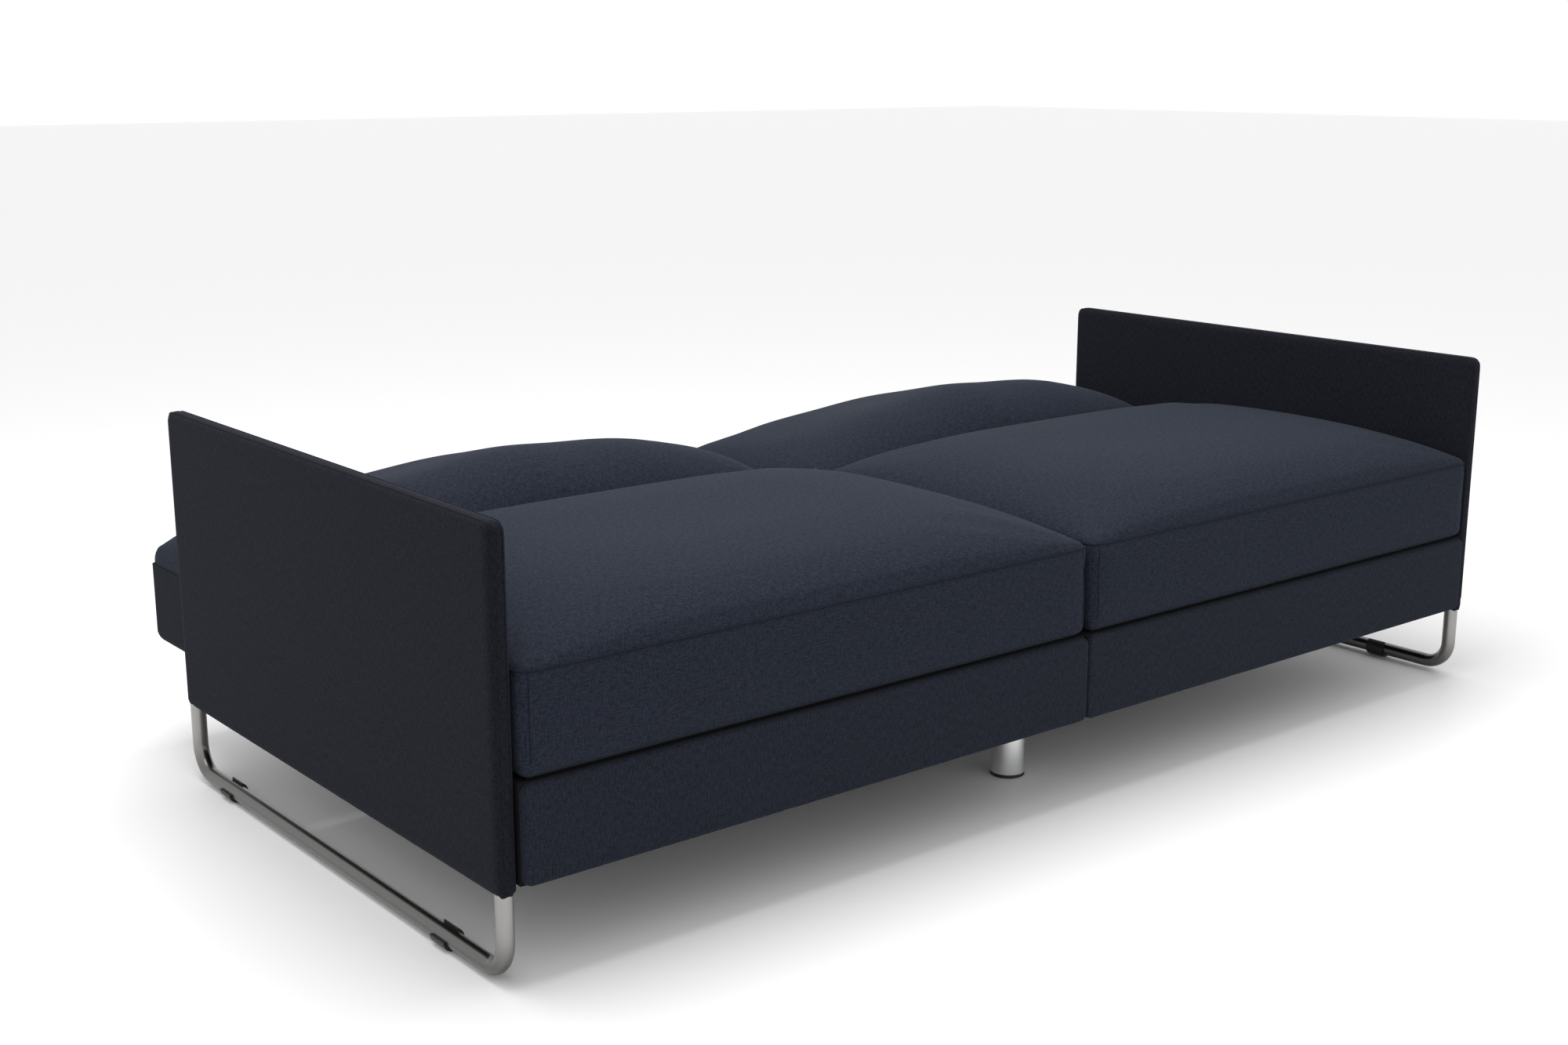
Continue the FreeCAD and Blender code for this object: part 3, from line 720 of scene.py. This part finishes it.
def make_back(side):
    body = "back_" + side
    box_low, box_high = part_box("back_box_" + side)
    pillow_low, pillow_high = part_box("back_pillow_" + side)
    inset = Vector((BACK_INSET, BACK_INSET, 0))
    rear = Vector((0, BACK_BULGE, 0))
    box = soft_box("backbox_" + side, box_low + inset, box_high + rear - inset, BACK_CORNER)
    bevel(box, BACK_UNDER, 4, lambda middle, run: middle.z < box_low.z + TOUCH)
    remeshed(box, FINE_CELL)
    finish_cloth(box, SHADED_ARM_CLOTH, body, "back_box_" + side)
    seam_z = pillow_low.z
    sunk = Vector((box_low.x, box_low.y, seam_z - PILLOW_SUNK))
    top = Vector((box_high.x, box_high.y + BACK_BULGE, seam_z + PILLOW_BAND))
    pillow = soft_box("pillow_" + side, sunk + inset, top - inset, BACK_CORNER)
    remeshed(pillow, FINE_CELL)
    raised(pillow, seam_z + PILLOW_BAND, box_low, box_high + rear, back_rise)
    remeshed(pillow, CELL)

    def pinned(points):
        return points[:, 2] < seam_z + SEAM_REACH

    def crown(points):
        return points[:, 2] > seam_z + CROWN_ABOVE

    room_high = (box_high.x, box_high.y + BACK_BULGE, pillow_high.z + PILLOW_TOP_PLAY)
    fill(pillow, pinned, PILLOW_CAP, tuple(sunk), room_high, crown)
    apply(pillow, "SUBSURF", levels=1, render_levels=1)
    finish_cloth(pillow, SEAT_CLOTH, body, "back_pillow_" + side)
    middle = (box_low + box_high) / 2
    welt = (middle.x, middle.y, box_high.z - 0.001)
    seam(box, "back_welt_" + side, welt, UP, BACK_RIDGE, SHADED_PIPING_CLOTH, body)


for side in SIDES:
    make_back(side)

# %% [markdown]
# The base panels are boards under thin foam: straight, with soft edges and a barely raised face.
# A simulation would make them too plump, so they are bevelled blocks whose outer face is lifted
# by two low hills.

# %% Base panels
BASE_ROUND = 0.011
BASE_RIM = 0.004
BASE_CELL = 0.003
BASE_SWELL = 0.0018


def make_base(side):
    for end in ("front", "rear"):
        node = f"base_panel_{end}_{side}"
        low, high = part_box(node)
        outward = -1 if end == "front" else 1
        face_y = low.y if end == "front" else high.y
        panel = block(f"base_{end}_{side}", low, high)
        bevel(panel, BASE_ROUND, 5, lambda middle, run: abs(run.y) > 0.9 * (high.y - low.y))
        bevel(panel, BASE_RIM, 4, lambda middle, run: abs(middle.y - face_y) < TOUCH and abs(run.y) < TOUCH)
        remeshed(panel, BASE_CELL)
        points = points_of(panel)
        u = (points[:, 0] - low.x) / (high.x - low.x)
        w = (points[:, 2] - low.z) / (high.z - low.z)
        proud = (points[:, 1] - (low.y + high.y) / 2) * outward > 0
        points[:, 1] += np.where(proud, outward * BASE_SWELL * hill(u, 8, 0.6) * hill(w, 3, 0.6), 0)
        place_points(panel, points)
        finish_cloth(panel, BASE_CLOTH, "frame", node)


for side in SIDES:
    make_base(side)

# %% [markdown]
# The wooden frame of each half is covered like a box before the panels go on: a fitted black
# lining lies over the slats and down all four sides. A cube round the frame loses its underside,
# its upper edges are eased, and what is left gets the thickness of cloth.

# %% Lining over the seat frame
LINING = 0.0007
LINING_LAP = 0.003
LINING_LIFT = 0.001
LINING_EASE = 0.002


def make_lining(side):
    front_low, front_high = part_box("base_panel_front_" + side)
    rear_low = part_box("base_panel_rear_" + side)[0]
    slats_low, slats_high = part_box("seat_slats_" + side)
    low = Vector((slats_low.x - 2 * LINING, front_high.y - LINING_LAP, front_low.z + LINING_LIFT))
    high = Vector((slats_high.x + 2 * LINING, rear_low.y + LINING_LAP, slats_high.z + 2 * LINING))
    lining = block("framelining_" + side, low, high)
    alone(lining)
    bpy.ops.object.mode_set(mode="EDIT")
    bpy.ops.mesh.select_mode(type="FACE")
    bpy.ops.mesh.select_all(action="DESELECT")
    bpy.ops.object.mode_set(mode="OBJECT")
    for face in lining.data.polygons:
        face.select = face.normal.z < -0.9
    bpy.ops.object.mode_set(mode="EDIT")
    bpy.ops.mesh.delete(type="ONLY_FACE")
    leave_edit()
    bevel(lining, LINING_EASE, 3, lambda middle, run: middle.z > high.z - TOUCH)
    apply(lining, "SOLIDIFY", thickness=LINING, offset=-1)
    finish_cloth(lining, FLEECE, "frame")
    alone(lining)
    bpy.ops.object.shade_smooth_by_angle(angle=math.radians(40))


for side in SIDES:
    make_lining(side)

# %% [markdown]
# An arm is a thin upright board in tight cloth. Its corners are round at the top and nearly sharp
# at the foot. The cloth is sewn from three parts, so a seam runs round each side just inside the
# edge, cut from the finished cloth as on the cushions.

# %% Arm panels
ARM_CORNER = 0.014
ARM_FOOT = 0.004
ARM_EDGE = 0.0075
ARM_SEAM_IN = 0.005
ARM_SEAM_RIDGE = 0.0024
ARM_SEAM_FOOT = 0.02


def make_arm(side):
    node = "arm_cover_" + side
    low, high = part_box(node)
    middle = (low + high) / 2
    arm = block("arm_" + side, low, high)

    def runs_across(run):
        return abs(run.x) > 0.9 * (high.x - low.x)

    def on_rim(place, run):
        return abs(run.x) < TOUCH and min(place.x - low.x, high.x - place.x) < TOUCH

    bevel(arm, ARM_CORNER, 6, lambda place, run: runs_across(run) and place.z > high.z - TOUCH)
    bevel(arm, ARM_FOOT, 6, lambda place, run: runs_across(run) and place.z < low.z + TOUCH)
    bevel(arm, ARM_EDGE, 5, on_rim)
    remeshed(arm, FINE_CELL)
    finish_cloth(arm, SHADED_ARM_CLOTH, "frame", node)
    for face, x in (("a", low.x + ARM_SEAM_IN), ("b", high.x - ARM_SEAM_IN)):
        seam(arm, f"arm_seam_{face}_{side}", (x, middle.y, middle.z), (1, 0, 0), ARM_SEAM_RIDGE,
             SHADED_ARM_CLOTH, "frame", lambda p: p.z > low.z + ARM_SEAM_FOOT)


for side in SIDES:
    make_arm(side)

# %% [markdown]
# Under the seat a black fleece keeps the dust out. It is one flat sheet, stapled to the rails and
# sagging a few millimetres between them.

# %% Dust covers
SAG = 0.004
SHEET = 0.0005
SHEET_LIFT = 0.0006
SHEET_CELLS = (60, 40)


def make_dust_cover(side):
    node = "dust_cover_" + side
    low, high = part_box(node)
    bpy.ops.object.select_all(action="DESELECT")
    across, along = SHEET_CELLS
    middle = ((low.x + high.x) / 2, (low.y + high.y) / 2, low.z + SHEET_LIFT)
    bpy.ops.mesh.primitive_grid_add(x_subdivisions=across, y_subdivisions=along, size=1, location=middle)
    sheet = bpy.context.object
    sheet.name = "dustsheet_" + side
    sheet.scale = (high.x - low.x, high.y - low.y, 1)
    bpy.ops.object.transform_apply(location=True, rotation=True, scale=True)
    points = points_of(sheet)
    u = (points[:, 0] - low.x) / (high.x - low.x)
    v = (points[:, 1] - low.y) / (high.y - low.y)
    points[:, 2] -= SAG * hill(u, 2, 1) * hill(v, 2, 1)
    place_points(sheet, points)
    apply(sheet, "SOLIDIFY", thickness=SHEET, offset=0)
    finish_cloth(sheet, FLEECE, "frame", node)


for side in SIDES:
    make_dust_cover(side)
